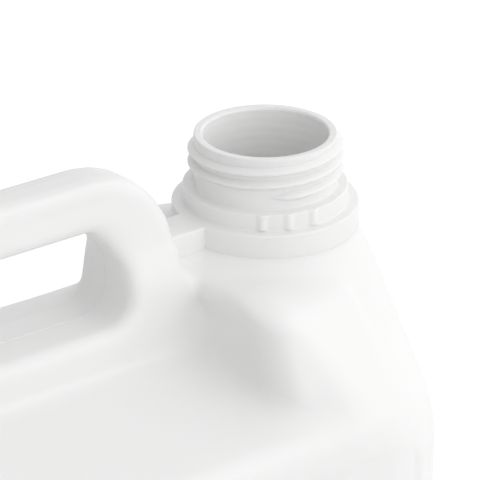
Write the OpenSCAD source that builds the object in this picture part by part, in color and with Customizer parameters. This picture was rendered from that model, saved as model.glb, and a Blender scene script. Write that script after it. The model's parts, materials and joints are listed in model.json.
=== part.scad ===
// Blow-moulded jug for liquid rinse aid: one hollow piece with a grip loop and an open screw neck.
// Millimetres. The origin is the middle of the base, +X runs towards the neck end and +Z is up.

/* [Body] */
// Length of the body, back to front
body_l = 216; // [190:1:260]
// Width of the body, side to side
body_w = 143; // [125:1:180]
// Height of the mouth above the base
mouth_h = 240; // [205:1:300]
// Thickness of the moulded wall
wall = 1.4; // [1:0.1:2.4]
// Plan radius of the two corners at the neck end
front_corner_r = 49; // [40:1:58]
// Plan radius of the two corners at the back
back_corner_r = 30; // [20:1:40]
// Radius of the edge round the base
base_edge_r = 8; // [4:0.5:12]
// Distance that the walls draw in from the shoulder to the base
base_draft = 0.6; // [0.2:0.1:2]
// Radius of the edge between the side wall and the flank beside the grip
ridge_r = 8.4; // [5:0.2:11]

/* [Shoulder] */
// Drop from the mouth to the centre of the ridge radius
ridge_drop = 79.2; // [76:0.2:90]
// Drop from the mouth to the line where both flanks would meet
gable_drop = 55.2; // [53:0.2:58]
// Distance from the neck axis back to the cross wall behind the neck
cross_wall_setback = 41; // [38:0.5:46]
// Plan radius of the upright edges of the cross wall
cross_wall_r = 12; // [8:0.5:12]
// Radius of the round ledge under the collar
ledge_r = 35.5; // [33:0.5:38]
// Drop from the mouth to the edge of that ledge
ledge_drop = 35.5; // [34:0.5:40]
// Width of the cross wall below its rounded top
wall_top_w = 107; // [90:1:112]
// Radius of the rounded top of the cross wall
wall_edge_r = 7; // [5:0.5:11]
// Width that this top loses over and above its radius, as a crown
wall_crown = 28; // [0:1:34]
// Drop from the mouth to the foot of the cross wall, inside the flanks
wall_foot_drop = 73; // [71:0.5:78]
// Width of the cross wall at its foot
wall_foot_w = 122; // [108:1:126]
// Distance that each side of the cross wall draws in towards the neck axis
wall_taper = 10; // [6:0.5:16]
// Distance from the cross wall forward to where the foot of the shoulder begins
spread_setback = 3; // [1:0.5:12]
// Distance that the foot of the shoulder draws in at the cross wall
spread_taper = 5; // [1:0.5:10]
// Drop from the mouth to the foot of the neck shoulder
shoulder_foot_drop = 95; // [92:0.5:105]
// Radius that turns the neck shoulder into the side wall
shoulder_r = 35; // [25:1:42]
// Distance that the ridge turns in behind the front wall
ridge_setback = 7; // [5:0.5:12]

/* [Label panel] */
// Depth of the flat recess in each side for a label
panel_d = 1; // [0.4:0.1:1.5]
// Drop from the mouth to the top of the recess
panel_drop = 86; // [84:0.5:110]
// Height of the recess above the base
panel_foot = 34; // [20:1:60]
// Distance that the recess runs forward of the neck axis
panel_lead = 12; // [0:0.5:14]
// Distance from the back wall to the recess
panel_back = 24; // [18:1:50]
// Radius of the corners of the recess
panel_r = 12; // [4:0.5:20]

/* [Neck] */
// Distance from the front wall back to the neck axis
neck_setback = 41; // [39:0.5:50]
// Bore of the mouth
bore_d = 41; // [36:0.5:42]
// Outer diameter of the neck below the rim
neck_d = 46.9; // [45:0.1:50]
// Diameter of the ratchet ring
ring_d = 54.4; // [52:0.1:57]
// Diameter of the collar
collar_d = 61.7; // [59:0.1:66]
// Drop from the mouth to the top of the ratchet ring
ring_drop = 17.6; // [16:0.1:19]
// Drop from the mouth to the top of the collar
collar_drop = 23.4; // [22:0.1:25]
// Drop from the mouth to the underside of the collar
collar_foot_drop = 31; // [29:0.1:32]
// Bevel on the edges of the rim, ring and collar
neck_bevel = 0.8; // [0.2:0.1:1.2]
// Width of the tab between the collar and the grip
tab_w = 14; // [8:0.5:18]

/* [Grip] */
// Length of the finger gap
gap_l = 86; // [75:1:100]
// Height of the finger gap
gap_h = 31.4; // [28:0.2:38]
// Drop from the mouth to the floor of the finger gap
gap_floor_drop = 44.8; // [43:0.2:50]
// Distance from the neck axis back to the front wall of the finger gap
gap_setback = 64.4; // [60:0.2:70]
// Radius of the upper corners of the finger gap
gap_top_r = 9; // [5:0.2:12]
// Radius of the lower corners of the finger gap
gap_floor_r = 9; // [5:0.5:14]
// Thickness of the grip
grip_t = 17.8; // [13:0.2:22]
// Width of the grip
grip_w = 17.6; // [14:0.2:24]
// Width of the rail under the grip and of the foot of its posts
rail_w = 31.4; // [26:0.2:40]
// Radius of the long edges of the grip and the rail
grip_edge_r = 4.4; // [2:0.2:6]
// Extra thickness of the grip posts below their bends
post_extra = 3; // [0:0.2:6]
// Slope of the outer faces of the grip posts, run over drop
post_slope = 0.25; // [0.1:0.05:0.4]

/* [Hidden] */
neck_x = body_l/2 - neck_setback;
front_x = body_l/2;
back_x = -body_l/2;
cross_wall_x = neck_x - cross_wall_setback;
gap_front_x = neck_x - gap_setback;
gap_back_x = gap_front_x - gap_l;
gap_floor_z = mouth_h - gap_floor_drop;
gap_top_z = gap_floor_z + gap_h;
ridge_z = mouth_h - ridge_drop;
gable_z = mouth_h - gable_drop;
shoulder_foot_z = mouth_h - shoulder_foot_drop;
panel_l = neck_x + panel_lead - back_x - panel_back;
panel_x = back_x + panel_back + panel_l/2;
// Inset that keeps the neck shoulder just inside the side wall where it rises from it
shoulder_inset = 0.4;
// Distance from the end walls to the ends of the gable line
gable_end = 26;
// Thickness of the slices that the body is drawn through
slice = 0.25;
// Foot of the rail and of the grip posts, inside the body
rail_foot_z = ridge_z - 2;
// Furthest that the front post may reach into the neck shoulder
front_post_bite = 3*wall;
// Distance from the back wall to the back post
back_post_margin = 4;
// Angle that each ridge turns through, the shoulder above the side walls and the top of the cross wall
ridge_sweep = 75;
shoulder_sweep = 40;
wall_sweep = 80;
// Distance that the bore and the label recesses run past the surfaces they open in
overcut = 1;
// Steps in each corner of the plan, each bend of the grip, each corner of its section and each edge
corner_steps = 10;
bend_steps = 6;
section_steps = 4;
edge_steps = 5;
// Steps of the straight part of each post
post_steps = 4;
// Steps round the neck and round the soft ledge under it
neck_steps = 128;
ledge_steps = 64;

// Points of an arc about c from angle a to angle b
function arc(c, r, a, b, steps) =
    [for (i = [0:steps]) c + r*[cos(a + (b - a)*i/steps), sin(a + (b - a)*i/steps)]];

// Outline from x0 to x1 with half-width h, separate radii at the two ends and steps to each corner
function plan(x0, x1, h, r0, r1, steps = corner_steps) = concat(
    arc([x1 - r1, h - r1], r1, 90, 0, steps),
    arc([x1 - r1, r1 - h], r1, 0, -90, steps),
    arc([x0 + r0, r0 - h], r0, -90, -180, steps),
    arc([x0 + r0, h - r0], r0, 180, 90, steps));

// Eased step from 0 at a to 1 at b
function ease(x, a, b) = let (t = min(1, max(0, (x - a)/(b - a)))) t*t*(3 - 2*t);

// Plan outline of the body, set in from the wall and shortened in front
function body_plan(inset, setback = 0) =
    plan(back_x + inset, front_x - setback - inset, body_w/2 - inset,
         max(1, back_corner_r - inset), max(1, front_corner_r - inset));

// Plan outline of the neck shoulder in front of the cross wall, s inside its surface
function shoulder_plan(inset, s, setback = 0) =
    let (h = body_w/2 - inset, r = cross_wall_r - s, rf = max(1, front_corner_r - inset),
         x = cross_wall_x + spread_setback + s + r, xf = front_x - setback - inset - rf,
         y = h - spread_taper - r)
    concat(arc([xf, h - rf], rf, 90, 0, corner_steps), arc([xf, rf - h], rf, 0, -90, corner_steps),
           arc([x, -y], r, -90, -180, corner_steps), arc([x, y], r, 180, 90, corner_steps));

// Plan outline of the shoulder from the cross wall to the neck axis, w wide, s inside its surface
function wall_plan(w, s) =
    let (r = max(0.5, cross_wall_r - s), x = cross_wall_x + s + r, h = w/2 - s)
    concat([[neck_x, h - wall_taper], [neck_x, wall_taper - h]],
           arc([x, r - h], r, -90, -180, corner_steps), arc([x, h - r], r, 180, 90, corner_steps));

// One thin slice of an outline at height z
module slice_at(outline, z)
    translate([0, 0, z]) linear_extrude(slice) polygon(outline);

// Body with a rounded base edge, rounded ridges and a low gabled top; s sets every surface in
module tub(s)
    hull() {
        for (i = [0:edge_steps]) let (a = 90*i/edge_steps, r = base_edge_r - s)
            slice_at(body_plan(s + base_draft + r*(1 - sin(a))), s + r*(1 - cos(a)));
        slice_at(body_plan(s), shoulder_foot_z - s);
        for (i = [1:edge_steps]) let (a = ridge_sweep*i/edge_steps, r = ridge_r - s)
            slice_at(body_plan(s + r*(1 - cos(a)), ridge_setback), ridge_z + r*sin(a));
        translate([back_x + gable_end, -slice/2, gable_z - s])
            cube([body_l - 2*gable_end - ridge_setback, slice, slice]);
    }

// Foot of the neck shoulder, where it turns out of the side walls
module shoulder_foot(s) {
    for (i = [0:edge_steps]) let (a = shoulder_sweep*i/edge_steps, r = shoulder_r - s)
        slice_at(shoulder_plan(shoulder_inset + s + r*(1 - cos(a)), s), shoulder_foot_z + r*sin(a));
    for (i = [1:edge_steps]) let (a = shoulder_sweep*i/edge_steps, r = ridge_r - s)
        slice_at(shoulder_plan(shoulder_inset + s + r*(1 - cos(a)), s, ridge_setback),
                 ridge_z + r*sin(a));
}

// Back of the shoulder: a broad cross wall with a rounded top that draws in towards the neck
module shoulder_back(s)
    hull() {
        shoulder_foot(s);
        for (i = [0:edge_steps]) let (a = wall_sweep*i/edge_steps, r = wall_edge_r - s)
            slice_at(wall_plan(wall_top_w - wall_crown*(1 - cos(a)), s + r*(1 - cos(a))),
                     mouth_h - ledge_drop - wall_edge_r + r*sin(a));
        slice_at(wall_plan(wall_foot_w, s), mouth_h - wall_foot_drop);
    }

// Shoulder that runs from the side walls up to the collar
module neck_shoulder(s) {
    shoulder_back(s);
    hull() {
        shoulder_foot(s);
        translate([cross_wall_x + ledge_r, 0, mouth_h - ledge_drop - s])
            cylinder(h = slice, r = ledge_r - s, $fn = ledge_steps);
        translate([neck_x, 0, mouth_h - collar_foot_drop - s])
            cylinder(h = slice, d = collar_d - 2*s, $fn = ledge_steps);
    }
}

// Recess for a label in both side walls, cut to depth d below the wall
module label_panels(d)
    intersection() {
        translate([0, 0, panel_foot]) linear_extrude(mouth_h - panel_drop - panel_foot)
            difference() {
                polygon(body_plan(-overcut));
                polygon(body_plan(d));
            }
        translate([0, body_w, 0]) rotate([90, 0, 0]) linear_extrude(2*body_w)
            polygon([for (p = plan(panel_foot, mouth_h - panel_drop, panel_l/2, panel_r, panel_r))
                [panel_x + p[1], p[0]]]);
    }

// Width of the grip loop at height z: the grip above, spreading to the posts and rail below
function loop_half_w(z) =
    rail_w/2 + (grip_w - rail_w)/2*ease(z, gap_floor_z + gap_floor_r, gap_top_z);

// Far end of a section that leaves the gap at point p in direction d, on the front or back post
function post_end(p, d, x_end) =
    let (tx = abs(d[0]) < 0.001 ? 1e6 : (x_end - p[0])/d[0],
         tz = d[1] > -0.001 ? 1e6 : (rail_foot_z - p[1])/d[1])
    p + d*min(tx, tz);

// Thickness of a grip post at height z, growing downwards from its bend
function post_t(z) = grip_t + post_extra + post_slope*max(0, gap_top_z - gap_top_r - z);

// Outer face of the front post at height z
function front_face(z) = min(cross_wall_x + front_post_bite, gap_front_x + post_t(z));

// Outer face of the back post at height z
function back_face(z) = max(back_x + back_post_margin, gap_back_x - post_t(z));

// Distance from the centre of a bend to its outside, in the direction d
function bend_r(d) = gap_top_r + grip_t + post_extra*(1 - d[1]);

// Sections of the front half of the loop, each a pair of points on the gap and on the outside
function front_stations() =
    let (x = gap_front_x, rt = gap_top_r, rf = gap_floor_r,
         top = [x - rt, gap_top_z - rt], low = [x - rf, gap_floor_z + rf])
    concat(
        [for (i = [0:bend_steps]) let (a = 90 - 90*i/bend_steps, d = [cos(a), sin(a)])
            [top + rt*d, top + bend_r(d)*d]],
        [for (i = [1:post_steps - 1]) let (z = top[1] + (low[1] - top[1])*i/post_steps)
            [[x, z], [front_face(z), z]]],
        [for (i = [0:bend_steps]) let (a = -90*i/bend_steps, d = [cos(a), sin(a)])
            [low + rf*d, post_end(low, d, front_face(low[1]))]]);

// Sections of the back half of the loop, from the rail up the back post to the grip
function back_stations() =
    let (x = gap_back_x, rt = gap_top_r, rf = gap_floor_r,
         top = [x + rt, gap_top_z - rt], low = [x + rf, gap_floor_z + rf])
    concat(
        [for (i = [0:bend_steps]) let (a = -90 - 90*i/bend_steps, d = [cos(a), sin(a)])
            [low + rf*d, post_end(low, d, back_face(low[1]))]],
        [for (i = [1:post_steps - 1]) let (z = low[1] + (top[1] - low[1])*i/post_steps)
            [[x, z], [back_face(z), z]]],
        [for (i = [0:bend_steps]) let (a = 180 - 90*i/bend_steps, d = [cos(a), sin(a)])
            [top + rt*d, top + bend_r(d)*d]]);

// Rounded section between the two points of a station, set in by s
function loop_section(st, s) =
    let (d = st[1] - st[0], t = norm(d), u = d/t, h = loop_half_w(st[0][1]) - s, r = grip_edge_r - s,
         flat = plan(s, t - s, h, r, r, section_steps))
    [for (p = flat) [st[0][0] + u[0]*p[0], p[1], st[0][1] + u[1]*p[0]]];

// Closed loop of the grip, its two posts and the rail under the finger gap
module grip_loop(s) {
    stations = concat(front_stations(), back_stations());
    rings = [for (st = stations) loop_section(st, s)];
    n = len(rings);
    m = len(rings[0]);
    polyhedron(
        points = [for (ring = rings) each ring],
        faces = [for (i = [0:n - 1], j = [0:m - 1])
            let (k = (i + 1)%n, l = (j + 1)%m) each [
                [i*m + j, k*m + l, i*m + l],
                [i*m + j, k*m + j, k*m + l]]]);
}

// Turned outside of the neck: rim, plain wall for the thread, ratchet ring and collar
module neck_outside()
    translate([neck_x, 0, mouth_h]) rotate_extrude($fn = neck_steps)
        polygon([
            [0, 0],
            [neck_d/2 - neck_bevel, 0],
            [neck_d/2, -neck_bevel],
            [neck_d/2, -ring_drop],
            [ring_d/2 - neck_bevel, -ring_drop],
            [ring_d/2, -ring_drop - neck_bevel],
            [ring_d/2, -collar_drop],
            [collar_d/2 - neck_bevel, -collar_drop],
            [collar_d/2, -collar_drop - neck_bevel],
            [collar_d/2, -collar_foot_drop],
            [0, -collar_foot_drop - wall]]);

// Tab that ties the collar and the ledge under it to the front post of the grip
module tab()
    translate([gap_front_x + grip_t/2, -tab_w/2, mouth_h - ledge_drop])
        cube([gap_setback - grip_t/2 - neck_d/2, tab_w, ledge_drop - collar_drop]);

// Straight bore from the mouth into the hollow body
module mouth_bore()
    translate([neck_x, 0, mouth_h - collar_foot_drop - 2*wall])
        cylinder(h = collar_foot_drop + 2*wall + overcut, d = bore_d, $fn = neck_steps);

// Hollow inside of the body, the neck shoulder and the grip loop
module cavity() {
    difference() {
        tub(wall);
        label_panels(panel_d + wall);
    }
    neck_shoulder(wall);
    grip_loop(wall);
}

module jug()
    color("white") difference() {
        union() {
            tub(0);
            neck_shoulder(0);
            grip_loop(0);
            neck_outside();
            tab();
        }
        cavity();
        mouth_bore();
        label_panels(panel_d);
    }

jug();
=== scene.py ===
"""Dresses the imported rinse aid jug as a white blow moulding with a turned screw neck."""

import json
import logging
import math
from dataclasses import dataclass
from enum import Enum
from typing import Callable, Optional, Sequence, Union

import bpy
import numpy as np
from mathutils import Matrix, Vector

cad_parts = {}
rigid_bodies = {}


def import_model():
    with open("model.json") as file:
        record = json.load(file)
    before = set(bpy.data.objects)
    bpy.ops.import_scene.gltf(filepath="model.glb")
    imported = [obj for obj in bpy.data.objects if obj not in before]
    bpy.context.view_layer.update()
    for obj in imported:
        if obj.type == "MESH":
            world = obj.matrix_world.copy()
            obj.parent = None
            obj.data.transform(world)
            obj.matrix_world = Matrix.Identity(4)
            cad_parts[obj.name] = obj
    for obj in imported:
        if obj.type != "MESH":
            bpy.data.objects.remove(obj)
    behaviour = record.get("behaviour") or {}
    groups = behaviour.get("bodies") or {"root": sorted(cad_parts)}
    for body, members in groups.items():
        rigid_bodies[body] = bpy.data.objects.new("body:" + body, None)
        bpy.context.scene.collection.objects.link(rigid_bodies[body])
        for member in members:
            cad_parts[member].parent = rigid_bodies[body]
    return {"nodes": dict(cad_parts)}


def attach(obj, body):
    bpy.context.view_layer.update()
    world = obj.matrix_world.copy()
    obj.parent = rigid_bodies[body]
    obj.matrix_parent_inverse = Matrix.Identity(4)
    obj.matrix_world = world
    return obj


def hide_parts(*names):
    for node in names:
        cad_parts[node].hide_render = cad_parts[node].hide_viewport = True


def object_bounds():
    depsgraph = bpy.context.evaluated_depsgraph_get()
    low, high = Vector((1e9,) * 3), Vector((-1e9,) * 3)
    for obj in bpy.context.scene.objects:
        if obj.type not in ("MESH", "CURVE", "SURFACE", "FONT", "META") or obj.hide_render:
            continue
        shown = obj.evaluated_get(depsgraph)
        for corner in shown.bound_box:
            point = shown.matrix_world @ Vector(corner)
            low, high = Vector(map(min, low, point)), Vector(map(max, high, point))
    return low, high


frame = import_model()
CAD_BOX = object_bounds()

LOG = logging.getLogger("jug")
MM = 0.001
BODY = "root"
NODE = "jug"
CRISP_EDGE_DEG = 32.0
BLACK = (0.0, 0.0, 0.0, 1.0)
WHITE = (1.0, 1.0, 1.0, 1.0)

Point = tuple[float, float]
Place = tuple[float, float, float]
Colour = tuple[float, float, float]
Span = tuple[float, float]
FaceTest = Callable[[Vector, Vector], bool]
Weight = Callable[[np.ndarray], np.ndarray]
Object = bpy.types.Object
Socket = bpy.types.NodeSocket
Tree = bpy.types.NodeTree


class Zone(Enum):
    """Parts of the moulding's skin that are softened by different amounts."""

    EVEN = "even_skin"
    FOOT = "filled_foot"
    SHOULDER = "soft_shoulder"
    GRIP = "soft_grip"
    GAP = "soft_gap_end"
    LOWER = "plain_lower_body"


def deselect_all() -> None:
    """Deselect every object."""
    bpy.ops.object.select_all(action="DESELECT")


def make_active(obj: Object) -> None:
    """Select one object alone and make it the active one.

    Args:
        obj: Object to select.
    """
    deselect_all()
    obj.select_set(True)
    bpy.context.view_layer.objects.active = obj


def active_object() -> Object:
    """Return the active object."""
    return bpy.context.view_layer.objects.active


def edit(obj: Object, part: str) -> None:
    """Enter edit mode on one object.

    Args:
        obj: Object to edit.
        part: Kind of element that selections act on.
    """
    make_active(obj)
    bpy.ops.object.mode_set(mode="EDIT")
    bpy.ops.mesh.select_mode(type=part)


def leave_edit() -> None:
    """Go back to object mode."""
    bpy.ops.object.mode_set(mode="OBJECT")


def clear_selection(obj: Object, part: str) -> None:
    """Deselect all of a mesh, so that it can be selected by place.

    Args:
        obj: Object to clear.
        part: Kind of element that later selections act on.
    """
    edit(obj, part)
    bpy.ops.mesh.select_all(action="DESELECT")
    leave_edit()


def pick_faces(obj: Object, test: FaceTest) -> None:
    """Select the faces that pass a test and stay in edit mode.

    Args:
        obj: Object whose faces are picked.
        test: Function of a face's centre and normal.
    """
    clear_selection(obj, "FACE")
    for face in obj.data.polygons:
        face.select = test(face.center, face.normal)
    bpy.ops.object.mode_set(mode="EDIT")


def apply_modifier(obj: Object, kind: str, **settings: object) -> None:
    """Add one modifier to an object and apply it.

    Args:
        obj: Object to change.
        kind: Blender's name for the modifier.
        settings: Values of the modifier's own properties.
    """
    make_active(obj)
    modifier = obj.modifiers.new(kind.lower(), kind)
    for name, value in settings.items():
        setattr(modifier, name, value)
    bpy.ops.object.modifier_apply(modifier=modifier.name)


def combine(obj: Object, tool: Object, operation: str) -> None:
    """Cut a tool out of an object or unite the two, and delete the tool.

    Args:
        obj: Object to change.
        tool: Closed mesh object to combine with it.
        operation: Blender's name for the way to combine them.
    """
    apply_modifier(obj, "BOOLEAN", operation=operation, solver="EXACT", object=tool)
    mesh = tool.data
    bpy.data.objects.remove(tool)
    bpy.data.meshes.remove(mesh)


def vertex_rows(obj: Object, attribute: str) -> np.ndarray:
    """Read one vector of every vertex of a mesh object.

    Args:
        obj: Object to read.
        attribute: Blender's name for the vector, such as co or normal.

    Returns:
        Rows of x, y and z.
    """
    flat = np.zeros(len(obj.data.vertices) * 3)
    obj.data.vertices.foreach_get(attribute, flat)
    return flat.reshape(-1, 3)


def coordinates(obj: Object) -> np.ndarray:
    """Return a mesh object's vertices as rows of x, y and z in metres."""
    return vertex_rows(obj, "co")


def move_vertices(obj: Object, points: np.ndarray) -> None:
    """Put a mesh object's vertices at new places, given as rows of x, y and z in metres."""
    obj.data.vertices.foreach_set("co", np.ascontiguousarray(points).ravel())
    obj.data.update()


def rise(values: np.ndarray, span: Span) -> np.ndarray:
    """Return a smooth step from 0 at the low end of a span to 1 at its high end.

    Args:
        values: Numbers to weigh.
        span: Low and high end of the step.

    Returns:
        A weight for each number.
    """
    low, high = span
    t = np.clip((values - low) / (high - low), 0.0, 1.0)
    return t * t * (3.0 - 2.0 * t)


def fade(values: np.ndarray, span: Span) -> np.ndarray:
    """Return a smooth step from 1 at the low end of a span to 0 at its high end."""
    return 1.0 - rise(values, span)


def distance_to(points: np.ndarray, start: np.ndarray, end: np.ndarray) -> np.ndarray:
    """Measure how far points are from a straight line.

    Args:
        points: Rows of x, y and z.
        start: One end of the line.
        end: Its other end.

    Returns:
        The distance of each point.
    """
    way = end - start
    t = np.clip((points - start) @ way / (way @ way), 0.0, 1.0)
    return np.linalg.norm(points - start - np.outer(t, way), axis=1)


def rounded(corner: Point, run_in: Point, run_out: Point,
            steps: int = 3, hold: float = 0.15) -> list[Point]:
    """Round a corner of an outline with a quarter of an ellipse.

    Args:
        corner: The sharp corner.
        run_in: Step from the corner back to the start of the round.
        run_out: Step from the corner on to the end of the round, square to the other.
        steps: Number of straight steps in the round.
        hold: Distance from the round to one more point on either side, which keeps the flats flat.

    Returns:
        The points in order.
    """
    before, after = np.array(run_in), np.array(run_out)
    middle = np.array(corner) + before + after
    turns = [0.5 * math.pi * step / steps for step in range(steps + 1)]
    points = [middle - after * math.cos(turn) - before * math.sin(turn) for turn in turns]
    first = points[0] + hold * before / np.linalg.norm(before)
    last = points[-1] + hold * after / np.linalg.norm(after)
    return [(float(r), float(z)) for r, z in (first, *points, last)]


def close_and_face_out(obj: Object, distance: float = 1e-6) -> None:
    """Merge doubled vertices of a mesh and turn its faces outwards.

    Args:
        obj: Object to mend.
        distance: Vertices closer than this are merged, in metres.
    """
    edit(obj, "VERT")
    bpy.ops.mesh.select_all(action="SELECT")
    bpy.ops.mesh.remove_doubles(threshold=distance)
    bpy.ops.mesh.normals_make_consistent(inside=False)
    leave_edit()


def cap_open_edges(obj: Object) -> None:
    """Close every open edge loop of a mesh with a face.

    Args:
        obj: Object to close.
    """
    edit(obj, "EDGE")
    bpy.ops.mesh.select_all(action="DESELECT")
    bpy.ops.mesh.select_non_manifold(
        extend=False, use_wire=False, use_boundary=True,
        use_multi_face=False, use_non_contiguous=False, use_verts=False)
    bpy.ops.mesh.edge_face_add()
    leave_edit()


def smooth_shade(obj: Object, degrees: float) -> None:
    """Shade a mesh smooth except across edges sharper than an angle."""
    make_active(obj)
    bpy.ops.object.shade_smooth_by_angle(angle=math.radians(degrees))


def join(obj: Object, other: Object) -> None:
    """Make one object part of another.

    Args:
        obj: Object that stays.
        other: Object that becomes part of it.
    """
    make_active(obj)
    other.select_set(True)
    bpy.ops.object.join()


def add_outline(points: Sequence[Place]) -> Object:
    """Add a closed loop of edges as a new object.

    Args:
        points: Places of its vertices in metres, in order.

    Returns:
        The loop, a circle whose vertices were moved to these places.
    """
    deselect_all()
    bpy.ops.mesh.primitive_circle_add(vertices=len(points), fill_type="NOTHING")
    outline = active_object()
    move_vertices(outline, np.array(points))
    return outline


def add_box(middle: Sequence[float], size: Sequence[float]) -> Object:
    """Add a box with its size and place in its mesh.

    Args:
        middle: Its middle in metres.
        size: Its three lengths in metres.

    Returns:
        The box.
    """
    deselect_all()
    bpy.ops.mesh.primitive_cube_add(size=1.0, location=middle)
    box = active_object()
    box.scale = size
    bpy.ops.object.transform_apply(location=True, rotation=True, scale=True)
    return box


def copy_mesh(name: str, mesh: bpy.types.Mesh) -> Object:
    """Make a new object of a copy of a mesh.

    Args:
        name: Name of the new object.
        mesh: Mesh to copy.

    Returns:
        The new object, in the scene and without materials.
    """
    obj = bpy.data.objects.new(name, mesh.copy())
    obj.data.materials.clear()
    bpy.context.scene.collection.objects.link(obj)
    return obj


def set_inputs(node: bpy.types.Node, values: dict[str, object]) -> None:
    """Set plain values on a node's inputs by their names."""
    for name, value in values.items():
        node.inputs[name].default_value = value


def math_node(tree: Tree, operation: str, *values: Union[Socket, float]) -> Socket:
    """Add a Math node.

    Args:
        tree: Node tree to add it to.
        operation: Blender's name for what it works out.
        values: Its inputs in order, each a socket to link or a number.

    Returns:
        Its output.
    """
    node = tree.nodes.new("ShaderNodeMath")
    node.operation = operation
    for slot, value in zip(node.inputs, values):
        if isinstance(value, Socket):
            tree.links.new(value, slot)
        else:
            slot.default_value = value
    return node.outputs[0]


@dataclass(frozen=True)
class SharedSizes:
    """Sizes that the jug's pieces share, in metres in the part's frame."""

    neck_x: float = 67.0 * MM
    mouth_z: float = 240.0 * MM
    bore_r: float = 20.5 * MM
    bore_slack: float = 0.2 * MM
    tab_half_w: float = 7.0 * MM

    def mouth(self) -> np.ndarray:
        """Return the middle of the mouth."""
        return np.array([self.neck_x, 0.0, self.mouth_z])

    def from_mouth(self, points: np.ndarray) -> np.ndarray:
        """Return points in metres as millimetres from the middle of the mouth."""
        return (points - self.mouth()) / MM

    def in_bore(self, place: Vector) -> bool:
        """Tell whether a place is as near to the neck's axis as the wall of the bore."""
        return math.hypot(place.x - self.neck_x, place.y) < self.bore_r + self.bore_slack


SIZES = SharedSizes()


class GrainAndTopShade:
    """Shared node group: the faint mottling of a blow-moulded surface, and painted shade as faint darker
    streaks along the top of the grip.
    """

    name = "grain_and_painted_shade"
    noise_span: Span = (0.3, 0.7)
    tone_span: Span = (0.985, 1.0)
    gloss_span: Span = (0.40, 0.50)
    fine_share = 0.25
    # Painted shade: the top of the grip, above grip_top, is darkened in faint streaks by these spans.
    line_stretch: Place = (0.02, 1.0, 0.02)
    top_shade_span: Span = (0.0, 0.06)
    grip_top: Span = (0.236, 0.243)

    @classmethod
    def group(cls) -> Tree:
        """Build the group once and return it.

        Returns:
            A group with a Vector input and the outputs Tone, Gloss and Relief.
        """
        if cls.name in bpy.data.node_groups:
            return bpy.data.node_groups[cls.name]
        tree = bpy.data.node_groups.new(cls.name, "ShaderNodeTree")
        tree.interface.new_socket("Vector", in_out="INPUT", socket_type="NodeSocketVector")
        for name in ("Tone", "Gloss", "Relief"):
            tree.interface.new_socket(name, in_out="OUTPUT", socket_type="NodeSocketFloat")
        place = tree.nodes.new("NodeGroupInput").outputs["Vector"]
        sink = tree.nodes.new("NodeGroupOutput")
        broad = cls._noise(tree, place, scale=26.0, detail=2.0)
        patch = cls._noise(tree, place, scale=110.0, detail=3.0)
        fine = cls._noise(tree, place, scale=900.0, detail=2.0)
        tone = cls._mapped(tree, broad, cls.noise_span, cls.tone_span)
        gloss = cls._mapped(tree, patch, cls.noise_span, cls.gloss_span)
        relief = math_node(tree, "MULTIPLY_ADD", fine, cls.fine_share, patch)
        # The tone is darkened by painted shade along the top of the grip.
        shaded_tone = math_node(tree, "SUBTRACT", tone, cls._painted_grip_shade(tree, place))
        for name, value in (("Tone", shaded_tone), ("Gloss", gloss), ("Relief", relief)):
            tree.links.new(value, sink.inputs[name])
        return tree

    @classmethod
    def _painted_grip_shade(cls, tree: Tree, place: Socket) -> Socket:
        """Add painted shade: faint darker streaks that run along the top of the grip.

        Args:
            tree: Node tree of the group.
            place: Socket with the place on the piece.

        Returns:
            A socket with the darkness of the painted shade.
        """
        stretch = tree.nodes.new("ShaderNodeMapping")
        set_inputs(stretch, {"Scale": cls.line_stretch})
        tree.links.new(place, stretch.inputs["Vector"])
        lines = cls._noise(tree, stretch.outputs["Vector"], scale=620.0, detail=2.0)
        parts = tree.nodes.new("ShaderNodeSeparateXYZ")
        tree.links.new(place, parts.inputs["Vector"])
        # Painted shade is laid only on the top of the grip.
        top = cls._mapped(tree, parts.outputs["Z"], cls.grip_top, (0.0, 1.0))
        return math_node(tree, "MULTIPLY", cls._mapped(tree, lines, cls.noise_span, cls.top_shade_span), top)

    @staticmethod
    def _noise(tree: Tree, place: Socket, scale: float, detail: float) -> Socket:
        """Add a noise texture.

        Args:
            tree: Node tree of the group.
            place: Socket with the place on the piece.
            scale: Scale of the noise, per metre.
            detail: Number of finer layers in it.

        Returns:
            A socket with the noise.
        """
        node = tree.nodes.new("ShaderNodeTexNoise")
        set_inputs(node, {"Scale": scale, "Detail": detail})
        tree.links.new(place, node.inputs["Vector"])
        return node.outputs["Fac"]

    @staticmethod
    def _mapped(tree: Tree, value: Socket, source: Span, result: Span) -> Socket:
        """Map a value from one span to another.

        Args:
            tree: Node tree of the group.
            value: Socket with the value.
            source: Span that the value is read over.
            result: Span that it is mapped to.

        Returns:
            A socket with the mapped value.
        """
        node = tree.nodes.new("ShaderNodeMapRange")
        set_inputs(node, {"From Min": source[0], "From Max": source[1]})
        set_inputs(node, {"To Min": result[0], "To Max": result[1]})
        tree.links.new(value, node.inputs["Value"])
        return node.outputs["Result"]


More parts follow.
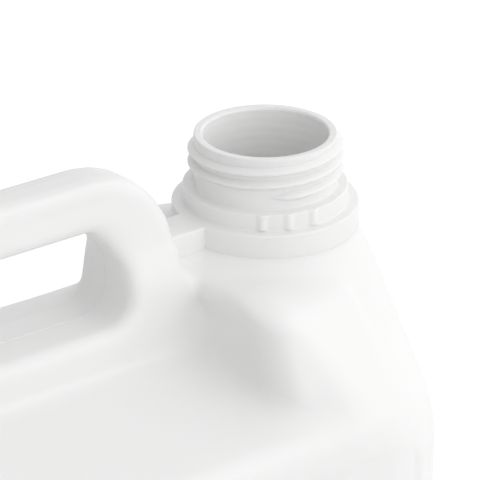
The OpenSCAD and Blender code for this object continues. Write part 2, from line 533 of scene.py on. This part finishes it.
@dataclass(frozen=True)
class PlasticFinish:
    """Satin white polyethylene as it comes out of the mould."""

    name: str
    colour: Colour = (0.85, 0.85, 0.845)
    bump: float = 0.10
    bump_depth: float = 0.12 * MM
    scatter: float = 0.10
    scatter_depth: float = 1.5 * MM
    ior: float = 1.5
    ring_scale: float = 0.0
    ring_wander: float = 1.5
    ring_detail: float = 2.0

    def material(self) -> bpy.types.Material:
        """Build the finish as a node material, once.

        Returns:
            The material, which reads Object coordinates.
        """
        if self.name in bpy.data.materials:
            return bpy.data.materials[self.name]
        material = bpy.data.materials.new(self.name)
        material.use_nodes = True
        tree = material.node_tree
        shader = tree.nodes["Principled BSDF"]
        place = tree.nodes.new("ShaderNodeTexCoord").outputs["Object"]
        grain = tree.nodes.new("ShaderNodeGroup")
        grain.node_tree = GrainAndTopShade.group()
        tree.links.new(place, grain.inputs["Vector"])
        tint = tree.nodes.new("ShaderNodeMix")
        tint.data_type = "RGBA"
        set_inputs(tint, {"A": BLACK, "B": (*self.colour, 1.0)})
        tree.links.new(grain.outputs["Tone"], tint.inputs["Factor"])
        tree.links.new(tint.outputs["Result"], shader.inputs["Base Color"])
        tree.links.new(grain.outputs["Gloss"], shader.inputs["Roughness"])
        bump = tree.nodes.new("ShaderNodeBump")
        set_inputs(bump, {"Strength": self.bump, "Distance": self.bump_depth})
        tree.links.new(self._height(tree, place, grain.outputs["Relief"]), bump.inputs["Height"])
        tree.links.new(bump.outputs["Normal"], shader.inputs["Normal"])
        set_inputs(shader, {"Subsurface Weight": self.scatter, "Subsurface Radius": (1.0, 1.0, 1.0),
                            "Subsurface Scale": self.scatter_depth, "IOR": self.ior})
        return material

    def _height(self, tree: Tree, place: Socket, relief: Socket) -> Socket:
        """Find the height that the bump reads, with faint level rings where the finish has them.

        Args:
            tree: Node tree of the material.
            place: Socket with the place on the piece.
            relief: Socket with the height of the grain.

        Returns:
            A socket with the height.
        """
        if self.ring_scale == 0.0:
            return relief
        rings = tree.nodes.new("ShaderNodeTexWave")
        rings.bands_direction = "Z"
        set_inputs(rings, {"Scale": self.ring_scale, "Distortion": self.ring_wander,
                           "Detail": self.ring_detail})
        tree.links.new(place, rings.inputs["Vector"])
        return math_node(tree, "ADD", relief, rings.outputs["Fac"])


def give_finish(obj: Object, finish: PlasticFinish) -> None:
    """Give an object one finish all over."""
    obj.data.materials.clear()
    obj.data.materials.append(finish.material())


@dataclass(frozen=True)
class SoftZones:
    """Where the skin of the moulding is shaped and softened.

    Each method weighs points that are given in millimetres from the middle of the mouth. A span is the
    stretch over which a weight rises or fades. Both halves are alike, so y counts without its sign.
    """

    ledge_x: float = -5.5
    ledge_r: float = 35.5
    ledge_z: float = -35.5
    ledge_top: Span = (-29.0, -25.0)
    rim_near: Span = (1.5, 4.0)
    rim_back: Span = (-31.0, -24.0)
    rim_side: Span = (16.0, 21.0)
    panel_side: Span = (64.0, 68.0)
    panel_top: Span = (-88.0, -80.0)
    panel_share: float = 0.7
    flank_z: float = -55.2
    flank_slope: float = 0.277
    flank_near: Span = (5.0, 16.0)
    foot_back: Span = (-62.0, -48.0)
    foot_low: Span = (-96.0, -84.0)
    web_place: Place = (-41.0, 12.0, -34.0)
    web_near: Span = (5.0, 11.0)
    brow_near: Span = (6.0, 15.0)
    brow_back: Span = (-28.0, -18.0)
    dome_near: Span = (14.0, 26.0)
    dome_back: Span = (-32.0, -24.0)
    dome_front: Span = (34.0, 44.0)
    dome_share: float = 0.6
    corner_top: Place = (-31.0, 36.0, -40.0)
    corner_bend: Place = (-34.0, 51.0, -46.0)
    corner_foot: Place = (-34.0, 58.0, -62.0)
    corner_near: Span = (0.0, 15.0)
    wall_back: Span = (-58.0, -45.0)
    wall_front: Span = (-33.0, -12.0)
    wall_side: Span = (10.0, 18.0)
    wall_low: Span = (-92.0, -82.0)
    wall_top: Span = (-47.0, -35.5)
    grip_low: Span = (-62.0, -50.0)
    grip_front: Span = (-46.0, -36.0)
    gap_corner: Point = (-66.0, -17.0)
    gap_near: Span = (1.0, 11.5)
    lower_top: Span = (-125.0, -110.0)

    def even(self, p: np.ndarray) -> np.ndarray:
        """Weigh the whole skin, less at the edges of the side panels and not at all on the ledge's rim.

        Args:
            p: Points to weigh.

        Returns:
            A weight for each point.
        """
        _, y, z = self._axes(p)
        side = rise(y, self.panel_side) * fade(z, self.panel_top)
        return (1.0 - self.panel_share * side) * (1.0 - self._rim(p))

    def foot(self, p: np.ndarray) -> np.ndarray:
        """Weigh the foot of the neck shoulder, where it stands on the flanks and the rail.

        Args:
            p: Points to weigh.

        Returns:
            A weight for each point.
        """
        x, y, z = self._axes(p)
        above_flank = z - self.flank_z + self.flank_slope * y
        along = rise(x, self.foot_back) * fade(x, self.dome_front)
        return along * rise(z, self.foot_low) * fade(above_flank, self.flank_near)

    def shoulder(self, p: np.ndarray) -> np.ndarray:
        """Weigh the brow and the dome of the neck shoulder and the webs where it meets the front post.

        Args:
            p: Points to weigh.

        Returns:
            A weight for each point.
        """
        x, y, z = self._axes(p)
        web_x, web_y, web_z = self.web_place
        web = fade(np.sqrt((x - web_x) ** 2 + (y - web_y) ** 2 + (z - web_z) ** 2), self.web_near)
        brow = fade(self._off_ledge(p), self.brow_near) * rise(x, self.brow_back)
        dome = self.dome_share * fade(self._off_corner(p), self.dome_near) * rise(x, self.dome_back)
        soft = np.maximum.reduce([web, brow, dome]) * (1.0 - self._rim(p))
        return soft * fade(x, self.dome_front) * fade(z, self.ledge_top)

    def cross_wall(self, p: np.ndarray) -> np.ndarray:
        """Weigh the cross wall below the round ledge.

        Args:
            p: Points to weigh.

        Returns:
            A weight for each point.
        """
        x, y, z = self._axes(p)
        across = rise(x, self.wall_back) * fade(x, self.wall_front) * rise(y, self.wall_side)
        return across * (rise(z, self.wall_low) * fade(z, self.wall_top))

    def corner(self, p: np.ndarray) -> np.ndarray:
        """Weigh the two rounded corners between the cross wall and the dome."""
        return fade(self._off_corner(p), self.corner_near)

    def grip(self, p: np.ndarray) -> np.ndarray:
        """Weigh the grip loop above the rail."""
        return rise(p[:, 2], self.grip_low) * fade(p[:, 0], self.grip_front)

    def gap(self, p: np.ndarray) -> np.ndarray:
        """Weigh the upper corner at the front end of the finger gap."""
        x, z = self.gap_corner
        return fade(np.hypot(p[:, 0] - x, p[:, 2] - z), self.gap_near)

    def lower(self, p: np.ndarray) -> np.ndarray:
        """Weigh the plain lower body, which needs fewer faces."""
        return fade(p[:, 2], self.lower_top)

    def _rim(self, p: np.ndarray) -> np.ndarray:
        """Weigh the crisp rim of the round ledge above the cross wall."""
        x, y, _ = self._axes(p)
        return fade(self._off_ledge(p), self.rim_near) * fade(x, self.rim_back) * rise(y, self.rim_side)

    @staticmethod
    def _axes(p: np.ndarray) -> tuple[np.ndarray, np.ndarray, np.ndarray]:
        """Return x, y without its sign and z of each point."""
        return p[:, 0], np.abs(p[:, 1]), p[:, 2]

    def _off_ledge(self, p: np.ndarray) -> np.ndarray:
        """Return how far points are from the round rim of the ledge, in millimetres."""
        x, y, z = self._axes(p)
        return np.hypot(np.hypot(x - self.ledge_x, y) - self.ledge_r, z - self.ledge_z)

    def _off_corner(self, p: np.ndarray) -> np.ndarray:
        """Measure how far points are from the corner between the cross wall and the dome.

        Args:
            p: Points to measure.

        Returns:
            The distance of each point in millimetres.
        """
        folded = np.stack(self._axes(p), axis=1)
        top, bend, foot = map(np.array, (self.corner_top, self.corner_bend, self.corner_foot))
        return np.minimum(distance_to(folded, top, bend), distance_to(folded, bend, foot))


ZONES = SoftZones()


@dataclass
class Moulding:
    """The hollow body, shoulder, grip and rail, softened from the solid. Lengths are in metres."""

    name: str = "jug_body"
    merge: float = 2e-6
    bore_depth: float = 40.0 * MM
    neck_cut_r: float = 33.0 * MM
    neck_cut_drop: float = 30.7 * MM
    tab_cut_back: float = 42.0 * MM
    tab_cut_front: float = 20.0 * MM
    tab_cut_h: float = 20.0 * MM
    tab_slack: float = 0.6 * MM
    throat_r: float = 24.0 * MM
    throat_drop: float = 34.0 * MM
    plug_rise: float = 20.0 * MM
    plug_sides: int = 96
    voxel: float = 1.25 * MM
    smoothing: float = 0.5
    swelling: float = -0.52
    even_passes: int = 9
    foot_passes: int = 110
    soft_passes: int = 70
    grip_passes: int = 6
    gap_passes: int = 14
    inner_wall_back: float = 36.0 * MM
    inner_wall_half: float = 26.0 * MM
    inner_wall_drop: float = 95.0 * MM
    inner_cuts: int = 3
    wall_shift: float = 3.0 * MM
    inner_shift: float = 5.0 * MM
    corner_fill: float = 1.6 * MM
    corner_push: Place = (-0.55, 0.75, 0.37)
    sunk_share: float = 0.4
    sunk_span: Span = (-0.15 * MM, 0.15 * MM)
    gap_fill: float = 3.0 * MM
    kept_share: float = 0.5
    outside: Optional[Object] = None
    inside: Optional[Object] = None

    def build(self) -> Object:
        """Build the outer skin and keep the inner skin for later.

        Returns:
            The closed outer skin.
        """
        self._copy_solid()
        self._part_inside_from_outside()
        self._clear_neck()
        self._soften()
        return self.outside

    def hollow(self, finish: PlasticFinish, inner: PlasticFinish) -> None:
        """Give both skins their finishes, put the inside back and open the throat under the neck.

        Args:
            finish: Finish of the outer skin.
            inner: Finish of the inner skin, lighter than the outer one as painted light.
        """
        give_finish(self.outside, finish)
        give_finish(self.inside, inner)
        join(self.outside, self.inside)
        combine(self.outside, self._plug(self.throat_r, SIZES.mouth_z - self.throat_drop), "DIFFERENCE")
        smooth_shade(self.outside, CRISP_EDGE_DEG)

    def dress(self) -> None:
        """Tie the moulding to the frame."""
        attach(self.outside, BODY)
        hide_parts(NODE)

    def _copy_solid(self) -> None:
        """Copy the solid's mesh into a new object and merge it."""
        self.outside = copy_mesh(self.name, frame["nodes"][NODE].data)
        edit(self.outside, "VERT")
        bpy.ops.mesh.select_all(action="SELECT")
        bpy.ops.mesh.remove_doubles(threshold=self.merge)
        leave_edit()

    def _part_inside_from_outside(self) -> None:
        """Cut the bore's wall away, so that the outer and the inner skin come apart, and close both."""
        floor = SIZES.mouth_z - self.bore_depth

        def on_bore(centre: Vector, normal: Vector) -> bool:
            """Tell whether a face is part of the bore's upright wall."""
            return SIZES.in_bore(centre) and centre.z > floor and abs(normal.z) < 0.5

        pick_faces(self.outside, on_bore)
        bpy.ops.mesh.delete(type="FACE")
        leave_edit()
        top = int(np.argmax(coordinates(self.outside)[:, 2]))
        clear_selection(self.outside, "VERT")
        self.outside.data.vertices[top].select = True
        bpy.ops.object.mode_set(mode="EDIT")
        bpy.ops.mesh.select_linked()
        bpy.ops.mesh.select_all(action="INVERT")
        bpy.ops.mesh.separate(type="SELECTED")
        leave_edit()
        self.inside = next(o for o in bpy.context.selected_objects if o is not self.outside)
        self.inside.name = "jug_inside"
        cap_open_edges(self.outside)
        cap_open_edges(self.inside)

    def _clear_neck(self) -> None:
        """Cut the solid's own neck and tab off the skin, where the turned neck will stand."""
        low = SIZES.mouth_z - self.neck_cut_drop
        back, front = SIZES.neck_x - self.tab_cut_back, SIZES.neck_x - self.tab_cut_front
        plug = self._plug(self.neck_cut_r, low)
        box = add_box(((back + front) / 2, 0.0, low + self.tab_cut_h / 2),
                      (front - back, 2 * SIZES.tab_half_w + self.tab_slack, self.tab_cut_h))
        for cutter in (plug, box):
            combine(self.outside, cutter, "DIFFERENCE")

    def _plug(self, radius: float, low: float) -> Object:
        """Model an upright plug on the neck's axis.

        Args:
            radius: Its radius in metres.
            low: Height of its foot in metres.

        Returns:
            The plug, which reaches above the mouth.
        """
        height = SIZES.mouth_z + self.plug_rise - low
        deselect_all()
        bpy.ops.mesh.primitive_cylinder_add(vertices=self.plug_sides, radius=radius, depth=height,
                                            location=(SIZES.neck_x, 0.0, low + height / 2))
        bpy.ops.object.transform_apply(location=True, rotation=True, scale=True)
        return active_object()

    def _soften(self) -> None:
        """Remesh the outer skin evenly, shape it and blend its edges and corners."""
        apply_modifier(self.outside, "REMESH", mode="VOXEL", voxel_size=self.voxel, use_smooth_shade=True)
        self._even_out()
        self._refine_inside()
        self._shift_cross_wall(self.outside, self.wall_shift)
        self._shift_cross_wall(self.inside, self.inner_shift)
        self._fill_corners()
        self._fill_hollows()
        self._smooth(Zone.SHOULDER, ZONES.shoulder, self.soft_passes)
        self._smooth(Zone.GRIP, ZONES.grip, self.grip_passes)
        self._fill_gap_corner()
        self._smooth(Zone.GAP, ZONES.gap, self.gap_passes)
        self._weigh(Zone.LOWER, ZONES.lower)
        apply_modifier(self.outside, "DECIMATE", decimate_type="COLLAPSE", ratio=self.kept_share,
                       vertex_group=Zone.LOWER.value, vertex_group_factor=1.0)

    def _weigh(self, zone: Zone, weight: Weight) -> None:
        """Store how soft each point of the outer skin is in a zone.

        Args:
            zone: Zone that the weights are kept under.
            weight: Function of points in millimetres from the mouth.
        """
        group = self.outside.vertex_groups.new(name=zone.value)
        for index, value in enumerate(weight(SIZES.from_mouth(coordinates(self.outside)))):
            if value > 0.0:
                group.add([index], float(value), "REPLACE")

    def _smooth(self, zone: Zone, weight: Weight, passes: int) -> None:
        """Smooth one zone of the outer skin.

        Args:
            zone: Zone to smooth.
            weight: Function of points in millimetres from the mouth.
            passes: Number of rounds of smoothing.
        """
        self._weigh(zone, weight)
        apply_modifier(self.outside, "SMOOTH", factor=self.smoothing, iterations=passes,
                       vertex_group=zone.value)

    def _even_out(self) -> None:
        """Even out the skin without shrinking it: each pass smooths and then swells back."""
        self._weigh(Zone.EVEN, ZONES.even)
        for _ in range(self.even_passes):
            for factor in (self.smoothing, self.swelling):
                apply_modifier(self.outside, "SMOOTH", factor=factor, iterations=1,
                               vertex_group=Zone.EVEN.value)

    def _refine_inside(self) -> None:
        """Divide the inner skin's faces round the cross wall, so that they can follow the outer skin."""
        middle = SIZES.neck_x - self.inner_wall_back
        floor = SIZES.mouth_z - self.inner_wall_drop

        def near_wall(centre: Vector, _normal: Vector) -> bool:
            """Tell whether a face is near the cross wall."""
            return abs(centre.x - middle) < self.inner_wall_half and centre.z > floor

        pick_faces(self.inside, near_wall)
        bpy.ops.mesh.subdivide(number_cuts=self.inner_cuts)
        leave_edit()

    @staticmethod
    def _shift_cross_wall(skin: Object, shift: float) -> None:
        """Set the cross wall forward below the round ledge, whose rim stays where it is.

        Args:
            skin: Outer or inner skin of the moulding.
            shift: Distance that the wall moves, in metres.
        """
        points = coordinates(skin)
        points[:, 0] += shift * ZONES.cross_wall(SIZES.from_mouth(points))
        move_vertices(skin, points)

    def _fill_corners(self) -> None:
        """Fill out the two rounded corners between the cross wall and the domed shoulder."""
        points = coordinates(self.outside)
        p = SIZES.from_mouth(points)
        lift = self.corner_fill * ZONES.corner(p)
        back, out, up = self.corner_push
        push = np.stack([back * lift, out * np.sign(p[:, 1]) * lift, up * lift], axis=1)
        move_vertices(self.outside, points + push)

    def _fill_hollows(self) -> None:
        """Fill the hollow corners at the shoulder's foot with wide fillets and keep its raised edges."""
        before = coordinates(self.outside)
        outwards = vertex_rows(self.outside, "normal")
        self._smooth(Zone.FOOT, ZONES.foot, self.foot_passes)
        step = coordinates(self.outside) - before
        raised = np.einsum("ij,ij->i", step, outwards)
        share = self.sunk_share + (1.0 - self.sunk_share) * rise(raised, self.sunk_span)
        move_vertices(self.outside, before + step * share[:, None])

    def _fill_gap_corner(self) -> None:
        """Sweep the upper corner at the front end of the finger gap into a wider curve."""
        points = coordinates(self.outside)
        share = ZONES.gap(SIZES.from_mouth(points))
        slant = np.array([-1.0, 0.0, -1.0]) / math.sqrt(2.0)
        move_vertices(self.outside, points + np.outer(share * self.gap_fill, slant))


@dataclass
class ScrewNeck:
    """The turned neck: rim, bore, thread, ratchet ring with its teeth, collar and tab.

    Lengths are in millimetres, and heights are counted from the mouth.
    """

    name: str = "jug_neck"
    steps: int = 360
    wall_r: float = 23.45
    ring_r: float = 27.2
    ring_top: float = -17.6
    collar_r: float = 30.85
    collar_top: float = -23.4
    collar_foot: float = -30.9
    foot: Sequence[Point] = ((30.7, -31.7), (30.0, -33.0))
    bore_foot: float = -33.4
    rim_round_in: Point = (0.7, 1.2)
    rim_round_out: float = 0.45
    edge_round: float = 0.55
    ring_foot_round: Point = (0.75, 1.1)
    collar_foot_round: float = 0.6
    thread_r: float = 25.5
    thread_root: float = 23.2
    thread_pitch: float = 4.5
    thread_turns: float = 2.35
    thread_start_deg: float = 230.0
    thread_start_drop: float = 13.4
    thread_half: float = 1.95
    thread_fullness: float = 0.8
    thread_points: int = 15
    thread_steps: int = 120
    thread_taper_deg: float = 26.0
    thread_past_deg: float = 1.0
    thread_sink: float = 0.2
    thread_end_share: float = 0.25
    tooth_first_deg: Sequence[float] = (230.0, 50.0)
    tooth_pitch_deg: float = 18.5
    tooth_count: int = 3
    tooth_half_deg: float = 4.4
    tooth_flat: float = 0.1
    tooth_rise: float = 0.75
    touch: float = 0.01
    tab_back: float = -52.0
    tab_front: float = -28.6
    tab_top: float = -23.41
    tab_foot: float = -36.5
    tab_edge: float = 0.8
    tab_edge_steps: int = 4
    obj: Optional[Object] = None

    def build(self) -> Object:
        """Build the neck.

        Returns:
            The finished mesh object.
        """
        self.obj = self._turned_ring()
        self._raise_teeth()
        combine(self.obj, self._tab(), "UNION")
        join(self.obj, self._thread())
        self.obj.name = self.name
        smooth_shade(self.obj, CRISP_EDGE_DEG)
        return self.obj

    def dress(self, finish: PlasticFinish, inner: PlasticFinish) -> None:
        """Give the neck its finishes and tie it to the frame.

        Args:
            finish: Finish of the outside.
            inner: Finish of the bore, lighter than the outside as painted light.
        """
        give_finish(self.obj, finish)
        self.obj.data.materials.append(inner.material())
        for face in self.obj.data.polygons:
            if SIZES.in_bore(face.center):
                face.material_index = 1
        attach(self.obj, BODY)
        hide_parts(NODE)

    def _profile(self) -> list[Point]:
        """Draw the closed section of the neck, from the bore's foot over the rim to the collar's foot.

        Returns:
            Radius and height of each point.
        """
        bore_r = SIZES.bore_r / MM
        over, down = self.rim_round_in
        out, up = self.ring_foot_round
        rim, edge, fillet = self.rim_round_out, self.edge_round, self.collar_foot_round
        return [
            (bore_r, self.bore_foot),
            *rounded((bore_r, 0.0), (0.0, -down), (over, 0.0), steps=4),
            *rounded((self.wall_r, 0.0), (-rim, 0.0), (0.0, -rim)),
            *rounded((self.wall_r, self.ring_top), (0.0, up), (out, 0.0)),
            *rounded((self.ring_r, self.ring_top), (-edge, 0.0), (0.0, -edge)),
            *rounded((self.ring_r, self.collar_top), (0.0, fillet), (fillet, 0.0)),
            *rounded((self.collar_r, self.collar_top), (-edge, 0.0), (0.0, -edge)),
            (self.collar_r, self.collar_foot),
            *self.foot]

    def _turned_ring(self) -> Object:
        """Spin the section about the neck's axis.

        Returns:
            The ring as a closed mesh.
        """
        section = self._profile()
        ring = add_outline([(SIZES.neck_x + r * MM, 0.0, SIZES.mouth_z + z * MM) for r, z in section])
        edit(ring, "VERT")
        bpy.ops.mesh.select_all(action="SELECT")
        bpy.ops.mesh.spin(steps=self.steps, angle=2 * math.pi,
                          center=(SIZES.neck_x, 0.0, 0.0), axis=(0.0, 0.0, 1.0))
        leave_edit()
        close_and_face_out(ring)
        return ring

    @staticmethod
    def _set_polar(obj: Object, r: np.ndarray, z: np.ndarray, turn: np.ndarray) -> None:
        """Move each vertex of an object to a radius, a height and an angle about the neck's axis.

        Args:
            obj: Object to change.
            r: Radius of each vertex in millimetres.
            z: Height of each vertex in millimetres from the mouth.
            turn: Angle of each vertex in radians.
        """
        points = np.stack([r * np.cos(turn), r * np.sin(turn), z], axis=1) * MM
        move_vertices(obj, points + SIZES.mouth())

    def _raise_teeth(self) -> None:
        """Raise the ratchet ring's rounded teeth out of its wall."""
        p = SIZES.from_mouth(coordinates(self.obj))
        r, z, turn = np.hypot(p[:, 0], p[:, 1]), p[:, 2], np.arctan2(p[:, 1], p[:, 0])
        inner_edge, foot = self.ring_r - self.edge_round, self.collar_top + self.collar_foot_round
        upright = (z < self.ring_top) & (z > foot - self.touch)
        on_ring = upright & (r > inner_edge + self.touch) & (r < self.ring_r + self.touch)
        for first in self.tooth_first_deg:
            for number in range(self.tooth_count):
                middle = first + number * self.tooth_pitch_deg
                off = np.abs((np.degrees(turn) - middle + 180.0) % 360.0 - 180.0)
                lift = fade(off, (self.tooth_flat * self.tooth_half_deg, self.tooth_half_deg))
                r = np.where(on_ring, r + self.tooth_rise * lift, r)
        self._set_polar(self.obj, r, z, turn)

    def _thread(self) -> Object:
        """Sweep the thread's rounded section up the neck, with both ends running out into the wall.

        Returns:
            The thread as a closed mesh.
        """
        across = np.linspace(-1.0, 1.0, self.thread_points)
        bulge = (0.5 + 0.5 * np.cos(math.pi * across)) ** self.thread_fullness
        radii = self.thread_root + (self.thread_r - self.thread_root) * bulge
        thread = add_outline([(r * MM, 0.0, z * MM) for r, z in zip(radii, self.thread_half * across)])
        steps = int(self.thread_steps * self.thread_turns)
        apply_modifier(thread, "SCREW", axis="Z", angle=2 * math.pi * self.thread_turns,
                       steps=steps, render_steps=steps, use_merge_vertices=False,
                       screw_offset=self.thread_pitch * self.thread_turns * MM)
        self._run_out(thread)
        cap_open_edges(thread)
        close_and_face_out(thread)
        return thread

    def _run_out(self, thread: Object) -> None:
        """Turn the swept thread to its start and draw both of its ends into the neck's wall.

        Args:
            thread: Thread swept up from the origin.
        """
        p = coordinates(thread) / MM
        deg = np.degrees(np.arctan2(p[:, 1], p[:, 0])) % 360.0
        climb = self.thread_pitch / 360.0
        sweep = deg + 360.0 * np.round((p[:, 2] / climb - deg) / 360.0)
        end, taper, past = 360.0 * self.thread_turns, self.thread_taper_deg, self.thread_past_deg
        keep = rise(sweep, (-past, taper)) * fade(sweep, (end - taper, end + past))
        sunk = self.thread_root - self.thread_sink
        r = sunk + (np.hypot(p[:, 0], p[:, 1]) - sunk) * keep
        height = (p[:, 2] - climb * sweep) * (self.thread_end_share + (1.0 - self.thread_end_share) * keep)
        z = height + climb * sweep - self.thread_start_drop
        self._set_polar(thread, r, z, np.radians(sweep + self.thread_start_deg))

    def _tab(self) -> Object:
        """Model the tab between the collar and the grip.

        Returns:
            The tab as a closed mesh with rounded edges.
        """
        half = SIZES.tab_half_w / MM
        low = SIZES.mouth() + np.array([self.tab_back, -half, self.tab_foot]) * MM
        high = SIZES.mouth() + np.array([self.tab_front, half, self.tab_top]) * MM
        tab = add_box((low + high) / 2, high - low)
        edit(tab, "EDGE")
        bpy.ops.mesh.select_all(action="SELECT")
        bpy.ops.mesh.bevel(offset=self.tab_edge * MM, segments=self.tab_edge_steps, profile=0.5)
        leave_edit()
        return tab


@dataclass
class PartingLine:
    """The fine raised line where the two halves of the mould met. Lengths are in metres."""

    name: str = "jug_parting_line"
    bead_r: float = 0.42 * MM
    sink: float = 0.22 * MM
    lowest: float = 9.0 * MM
    ends: float = 106.0 * MM
    neck_half: float = 40.0 * MM
    neck_drop: float = 32.0 * MM
    smooth_deg: float = 60.0
    obj: Optional[Object] = None

    def build(self, skin: Object) -> Object:
        """Cut a copy of the skin along its middle and make the cut a fine bead inside the solid's box.

        Args:
            skin: Closed outer skin of the moulding.

        Returns:
            The bead as a mesh object.
        """
        self.obj = copy_mesh(self.name, skin.data)
        edit(self.obj, "FACE")
        bpy.ops.mesh.select_all(action="SELECT")
        bpy.ops.transform.shrink_fatten(value=-self.sink)
        bpy.ops.mesh.bisect(plane_co=(0.0, 0.0, 0.0), plane_no=(0.0, 1.0, 0.0),
                            clear_inner=True, clear_outer=True, use_fill=False)
        leave_edit()
        self._clear_ends()
        make_active(self.obj)
        bpy.ops.object.convert(target="CURVE")
        self.obj = active_object()
        self.obj.data.bevel_depth = self.bead_r
        self.obj.data.bevel_resolution = 1
        bpy.ops.object.convert(target="MESH")
        self.obj = active_object()
        self.obj.name = self.name
        low, high = (np.array(corner) for corner in CAD_BOX)
        move_vertices(self.obj, np.clip(coordinates(self.obj), low, high))
        smooth_shade(self.obj, self.smooth_deg)
        return self.obj

    def dress(self, finish: PlasticFinish) -> None:
        """Give the bead its finish and tie it to the frame.

        Args:
            finish: Finish of the bead.
        """
        give_finish(self.obj, finish)
        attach(self.obj, BODY)

    def _clear_ends(self) -> None:
        """Delete the line under the neck, under the base and on the upright ends of the body."""
        clear_selection(self.obj, "VERT")
        for vertex in self.obj.data.vertices:
            near = abs(vertex.co.x - SIZES.neck_x) < self.neck_half
            covered = near and vertex.co.z > SIZES.mouth_z - self.neck_drop
            vertex.select = covered or vertex.co.z < self.lowest or abs(vertex.co.x) > self.ends
        bpy.ops.object.mode_set(mode="EDIT")
        bpy.ops.mesh.delete(type="VERT")
        leave_edit()


@dataclass
class Studio:
    """Pale floor, white surroundings, one soft lamp and the camera. Lengths are in metres."""

    eye: Place = (-0.4859, -0.7088, 0.6215)
    forward: Place = (0.5505, 0.7193, -0.4237)
    lens_mm: float = 225.0
    sensor_mm: float = 36.0
    farthest: float = 50.0
    floor_size: float = 12.0
    floor_colour: Colour = (0.86, 0.86, 0.86)
    floor_roughness: float = 0.9
    floor_gloss: float = 0.1
    floor_lift: float = 0.28
    sky: float = 0.85
    sky_lean: Place = (0.42, -0.38, 0.08)
    lamp_place: Place = (1.0, -2.1, 1.2)
    lamp_aim: Place = (0.03, 0.0, 0.17)
    lamp_size: float = 1.8
    lamp_watts: float = 4.0

    def build(self) -> None:
        """Build the whole studio."""
        self._floor()
        self._world()
        self._lamp()
        self._camera()
        bpy.context.scene.view_settings.view_transform = "Standard"

    def _floor(self) -> None:
        """Lay the floor, which shows the camera a white ground and keeps the jug's shadow."""
        deselect_all()
        bpy.ops.mesh.primitive_plane_add(size=self.floor_size)
        floor = active_object()
        floor.name = "studio_floor"
        material = bpy.data.materials.new("pale_floor")
        material.use_nodes = True
        tree = material.node_tree
        shader = tree.nodes["Principled BSDF"]
        set_inputs(shader, {"Base Color": (*self.floor_colour, 1.0), "Roughness": self.floor_roughness,
                            "Specular IOR Level": self.floor_gloss, "Emission Color": WHITE})
        lift = math_node(tree, "MULTIPLY", self._seen(tree), self.floor_lift)
        tree.links.new(lift, shader.inputs["Emission Strength"])
        floor.data.materials.append(material)

    @staticmethod
    def _seen(tree: Tree) -> Socket:
        """Tell the rays that show the background from those that light the jug.

        Args:
            tree: Node tree of the floor or the world.

        Returns:
            A socket that is 1 for camera, glossy and transmitted rays and 0 for others.
        """
        path = tree.nodes.new("ShaderNodeLightPath").outputs
        direct = math_node(tree, "MAXIMUM", path["Is Camera Ray"], path["Is Glossy Ray"])
        return math_node(tree, "MAXIMUM", direct, path["Is Transmission Ray"])

    def _world(self) -> None:
        """Surround the jug with soft light that leans to one side, and show the camera white."""
        world = bpy.data.worlds.new("studio_world")
        bpy.context.scene.world = world
        world.use_nodes = True
        tree = world.node_tree
        ground = tree.nodes["Background"]
        set_inputs(ground, {"Color": WHITE})
        place = tree.nodes.new("ShaderNodeTexCoord")
        lean = tree.nodes.new("ShaderNodeVectorMath")
        lean.operation = "DOT_PRODUCT"
        lean.inputs[1].default_value = self.sky_lean
        tree.links.new(place.outputs["Generated"], lean.inputs[0])
        level = tree.nodes.new("ShaderNodeMapRange")
        set_inputs(level, {"To Max": 1.0})
        tree.links.new(math_node(tree, "ADD", lean.outputs["Value"], self.sky), level.inputs["To Min"])
        tree.links.new(self._seen(tree), level.inputs["Value"])
        tree.links.new(level.outputs["Result"], ground.inputs["Strength"])

    def _lamp(self) -> None:
        """Hang one square soft lamp that faces the jug."""
        data = bpy.data.lights.new("key_lamp", "AREA")
        data.size = self.lamp_size
        data.energy = self.lamp_watts
        aim = Vector(self.lamp_aim) - Vector(self.lamp_place)
        self._hang(data, self.lamp_place, aim)

    def _camera(self) -> None:
        """Set the camera where the photograph was taken from."""
        data = bpy.data.cameras.new("camera")
        data.lens = self.lens_mm
        data.sensor_width = self.sensor_mm
        data.clip_end = self.farthest
        bpy.context.scene.camera = self._hang(data, self.eye, Vector(self.forward))

    @staticmethod
    def _hang(data: bpy.types.ID, place: Place, aim: Vector) -> Object:
        """Put a lamp or a camera at its place and turn it.

        Args:
            data: Lamp or camera to hang.
            place: Where it hangs.
            aim: Direction that it faces.

        Returns:
            The new object.
        """
        obj = bpy.data.objects.new(data.name, data)
        bpy.context.scene.collection.objects.link(obj)
        obj.location = place
        obj.rotation_euler = aim.to_track_quat("-Z", "Y").to_euler()
        return obj


def triangles(obj: Object) -> int:
    """Return the number of triangles in a mesh object."""
    return sum(len(face.vertices) - 2 for face in obj.data.polygons)


def main() -> None:
    """Build and dress every piece, then the studio."""
    logging.basicConfig(level=logging.INFO, format="%(name)s: %(message)s")
    skin_finish = PlasticFinish("white_moulding")
    # The inner finish is a lighter copy of the white plastic: painted light in the bore and the hollow;
    # its level rings are real.
    lit_inside_finish = PlasticFinish("lit_white_inside", colour=(0.97, 0.97, 0.965), bump=0.35, ring_scale=95.0)
    moulding, line, neck = Moulding(), PartingLine(), ScrewNeck()
    skin = moulding.build()
    bead = line.build(skin)
    moulding.hollow(skin_finish, lit_inside_finish)
    turned = neck.build()
    moulding.dress()
    neck.dress(skin_finish, lit_inside_finish)
    line.dress(skin_finish)
    for piece in (skin, turned, bead):
        LOG.info("%s: %d triangles", piece.name, triangles(piece))
    Studio().build()


if __name__ == "__main__":
    main()
